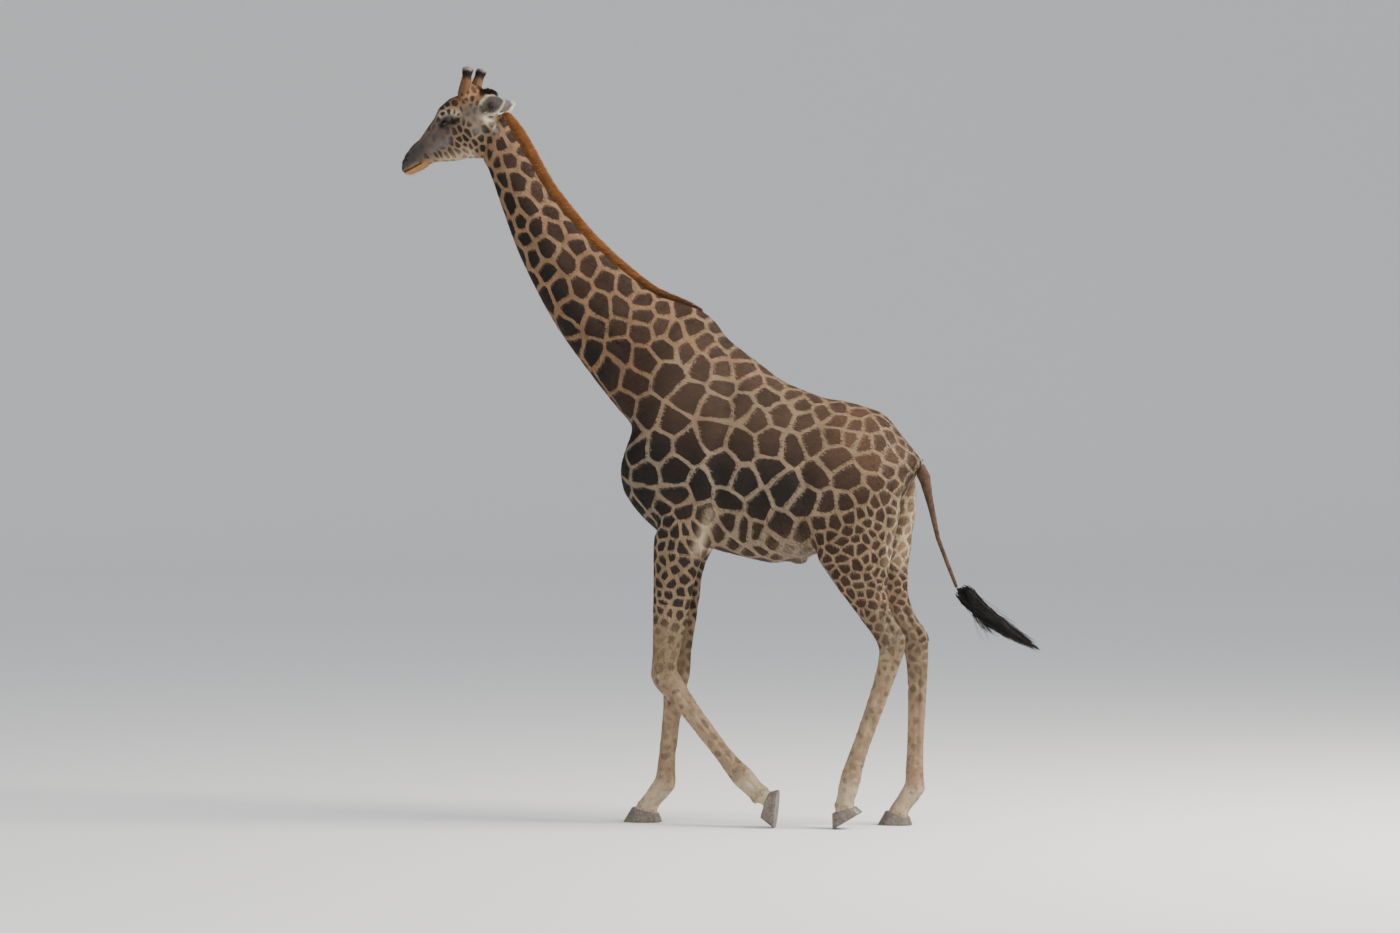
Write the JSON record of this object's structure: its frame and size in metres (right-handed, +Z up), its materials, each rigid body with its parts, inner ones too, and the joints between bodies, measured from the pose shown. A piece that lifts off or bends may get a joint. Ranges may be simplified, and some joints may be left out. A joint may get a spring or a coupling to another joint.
{
  "type": "giraffe, adult bull, walking",
  "caption": "Life-size still model of an adult bull giraffe in mid stride, neck lowered forward, patched coat, orange-brown mane and black tail tuft, standing on its hooves.",
  "frame": {"origin": "on the floor, at the middle of the footprint of the whole animal", "axes": "+Z up; the animal faces -X; its left side is -Y and its right side is +Y"},
  "size_m": [3.9934, 0.6744, 4.6088],
  "materials": {
    "patched_coat": "short flat fur, dark brown patches parted by a tan net",
    "pale_coat": "short flat fur, tan to cream with faint spots",
    "face_coat": "very short fur, grey brown with small dark spots",
    "mane_hair": "stiff upright hair, orange brown",
    "black_hair": "long coarse black hair",
    "horn_coat": "skin and short fur, black rim, bald grey top",
    "ear_coat": "short pale grey fur, dark hollow",
    "eye": "wet, dark brown",
    "hoof_horn": "dark grey horn with growth rings"
  },
  "bodies": {
    "root": {"neck_upper": "patched_coat", "neck_lower": "patched_coat", "trunk": "patched_coat", "leg_fore_left_upper": "patched_coat", "leg_fore_left_lower": "pale_coat", "leg_fore_left_foot": "pale_coat", "hoof_fore_left_a": "hoof_horn", "hoof_fore_left_b": "hoof_horn", "leg_fore_right_upper": "patched_coat", "leg_fore_right_lower": "pale_coat", "leg_fore_right_foot": "pale_coat", "hoof_fore_right_a": "hoof_horn", "hoof_fore_right_b": "hoof_horn", "leg_hind_left_upper": "patched_coat", "leg_hind_left_lower": "pale_coat", "leg_hind_left_foot": "pale_coat", "hoof_hind_left_a": "hoof_horn", "hoof_hind_left_b": "hoof_horn", "leg_hind_right_upper": "patched_coat", "leg_hind_right_lower": "pale_coat", "leg_hind_right_foot": "pale_coat", "hoof_hind_right_a": "hoof_horn", "hoof_hind_right_b": "hoof_horn", "head": "face_coat", "eye_left": "eye", "eye_right": "eye", "ossicone_left": "horn_coat", "ossicone_right": "horn_coat", "ear_left": "ear_coat", "ear_right": "ear_coat", "mane_upper": "mane_hair", "mane_lower": "mane_hair", "tail": "pale_coat", "tail_tuft": "black_hair"}
  },
  "joints": []
}
